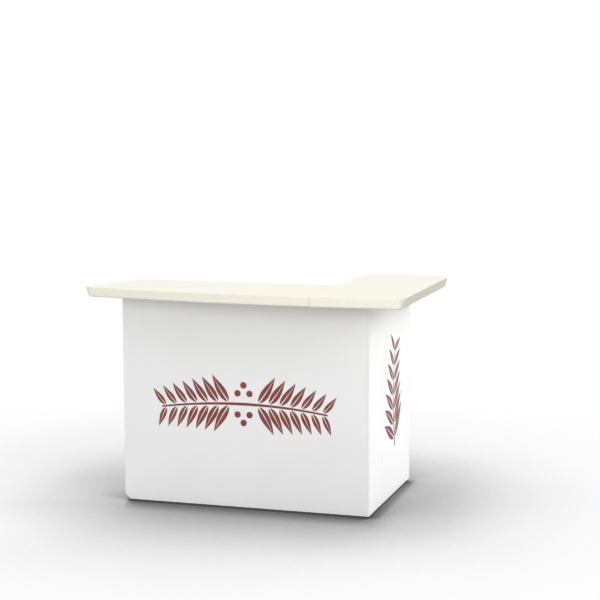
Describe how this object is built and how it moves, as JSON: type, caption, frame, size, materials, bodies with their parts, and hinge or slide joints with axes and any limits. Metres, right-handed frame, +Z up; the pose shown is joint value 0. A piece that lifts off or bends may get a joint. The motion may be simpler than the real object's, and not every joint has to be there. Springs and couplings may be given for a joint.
{
  "type": "mobile bar unit",
  "caption": "L-shaped mobile bar: white shelf cabinet on castors, hinged return wing that folds behind it, and an ivory counter in lift-off plates with a bowed front edge.",
  "frame": {"origin": "on the floor under the middle of the counter's overall length and depth", "axes": "+X along the counter to the customer's right, +Y from the customers' side to the staff side, +Z up"},
  "size_m": [1.4829, 0.978, 1],
  "materials": {
    "white_laminate": "smooth white laminate on board, satin",
    "shelf_laminate": "off-white laminate on board, satin",
    "plain_wood": "planed softwood, unfinished",
    "counter_plastic": "ivory moulded polyethylene, fine pebble grain on the edge",
    "saddle_plastic": "ivory moulded plastic",
    "bright_rail": "bright plated rod",
    "socket_plastic": "dark grey moulded plastic",
    "zinc_steel": "zinc-plated pressed steel",
    "hub_plastic": "grey nylon",
    "tyre_rubber": "grey non-marking rubber",
    "pedal_plastic": "red moulded plastic"
  },
  "bodies": {
    "cabinet": {"front_panel": "white_laminate", "left_end_panel": "white_laminate", "right_end_panel": "white_laminate", "base_deck": "shelf_laminate", "lower_shelf": "shelf_laminate", "upper_shelf": "shelf_laminate", "rear_top_rail": "shelf_laminate", "lower_shelf_cleat": "plain_wood", "upper_shelf_cleat": "plain_wood", "corner_blocks": "plain_wood", "left_castor_batten": "plain_wood", "right_castor_batten": "plain_wood", "deck_guard_rail": "bright_rail", "lower_guard_rail": "bright_rail", "upper_guard_rail": "bright_rail", "guard_rail_sockets": "socket_plastic", "catch_magnet": "socket_plastic", "shelf_pins": "zinc_steel", "cabinet_hinge_leaves": "zinc_steel", "hinge_pins": "zinc_steel", "cabinet_hinge_screws": "zinc_steel", "castor_plates": "zinc_steel", "castor_kingpins": "zinc_steel", "castor_screws": "zinc_steel"},
    "return_wing": {"wing_panel": "white_laminate", "wing_hinge_leaves": "zinc_steel", "wing_screws": "zinc_steel", "wing_castor_bracket": "zinc_steel", "wing_castor_plate": "zinc_steel", "wing_castor_kingpin": "zinc_steel", "wing_castor_bolts": "zinc_steel", "catch_strike": "zinc_steel"},
    "long_plate": {"long_counter": "counter_plastic", "long_counter_saddles": "saddle_plastic"},
    "return_plate": {"return_counter": "counter_plastic", "return_counter_saddles": "saddle_plastic"},
    "fork_front_left": {"fork_front_left": "zinc_steel", "axle_front_left": "zinc_steel"},
    "wheel_front_left": {"hub_front_left": "hub_plastic", "tyre_front_left": "tyre_rubber"},
    "fork_front_right": {"fork_front_right": "zinc_steel", "axle_front_right": "zinc_steel"},
    "wheel_front_right": {"hub_front_right": "hub_plastic", "tyre_front_right": "tyre_rubber"},
    "fork_rear_left": {"fork_rear_left": "zinc_steel", "axle_rear_left": "zinc_steel"},
    "wheel_rear_left": {"hub_rear_left": "hub_plastic", "tyre_rear_left": "tyre_rubber"},
    "fork_rear_right": {"fork_rear_right": "zinc_steel", "axle_rear_right": "zinc_steel"},
    "wheel_rear_right": {"hub_rear_right": "hub_plastic", "tyre_rear_right": "tyre_rubber"},
    "fork_wing": {"fork_wing": "zinc_steel", "axle_wing": "zinc_steel"},
    "wheel_wing": {"hub_wing": "hub_plastic", "tyre_wing": "tyre_rubber"},
    "pedal_left": {"brake_pedal_left": "pedal_plastic"},
    "pedal_right": {"brake_pedal_right": "pedal_plastic"}
  },
  "joints": [
    {"name": "wing_fold", "type": "hinge", "parent": "cabinet", "child": "return_wing", "pos_m": [0.5225, -0.0505, 0.5], "axis": [0, 0, 1], "range_deg": [0, 90]},
    {"name": "long_plate_lift", "type": "slide", "parent": "cabinet", "child": "long_plate", "axis": [0, 0, 1], "range_m": [0, 0.2]},
    {"name": "return_plate_lift", "type": "slide", "parent": "cabinet", "child": "return_plate", "axis": [0, 0, 1], "range_m": [0, 0.2]},
    {"name": "swivel_front_left", "type": "hinge", "parent": "cabinet", "child": "fork_front_left", "pos_m": [-0.5185, -0.212, 0.06], "axis": [0, 0, 1], "continuous": true},
    {"name": "roll_front_left", "type": "hinge", "parent": "fork_front_left", "child": "wheel_front_left", "pos_m": [-0.5185, -0.196, 0.025], "axis": [1, 0, 0], "continuous": true},
    {"name": "swivel_front_right", "type": "hinge", "parent": "cabinet", "child": "fork_front_right", "pos_m": [0.4565, -0.212, 0.06], "axis": [0, 0, 1], "continuous": true},
    {"name": "roll_front_right", "type": "hinge", "parent": "fork_front_right", "child": "wheel_front_right", "pos_m": [0.4565, -0.196, 0.025], "axis": [1, 0, 0], "continuous": true},
    {"name": "swivel_rear_left", "type": "hinge", "parent": "cabinet", "child": "fork_rear_left", "pos_m": [-0.5185, -0.106, 0.06], "axis": [0, 0, 1], "continuous": true},
    {"name": "roll_rear_left", "type": "hinge", "parent": "fork_rear_left", "child": "wheel_rear_left", "pos_m": [-0.5185, -0.09, 0.025], "axis": [1, 0, 0], "continuous": true},
    {"name": "swivel_rear_right", "type": "hinge", "parent": "cabinet", "child": "fork_rear_right", "pos_m": [0.4565, -0.106, 0.06], "axis": [0, 0, 1], "continuous": true},
    {"name": "roll_rear_right", "type": "hinge", "parent": "fork_rear_right", "child": "wheel_rear_right", "pos_m": [0.4565, -0.09, 0.025], "axis": [1, 0, 0], "continuous": true},
    {"name": "swivel_wing", "type": "hinge", "parent": "return_wing", "child": "fork_wing", "pos_m": [0.4805, 0.424, 0.06], "axis": [0, 0, 1], "continuous": true},
    {"name": "roll_wing", "type": "hinge", "parent": "fork_wing", "child": "wheel_wing", "pos_m": [0.4805, 0.44, 0.025], "axis": [1, 0, 0], "continuous": true},
    {"name": "brake_left", "type": "hinge", "parent": "fork_rear_left", "child": "pedal_left", "pos_m": [-0.5185, -0.072, 0.05], "axis": [-1, 0, 0], "range_deg": [0, 20]},
    {"name": "brake_right", "type": "hinge", "parent": "fork_rear_right", "child": "pedal_right", "pos_m": [0.4565, -0.072, 0.05], "axis": [-1, 0, 0], "range_deg": [0, 20]}
  ]
}
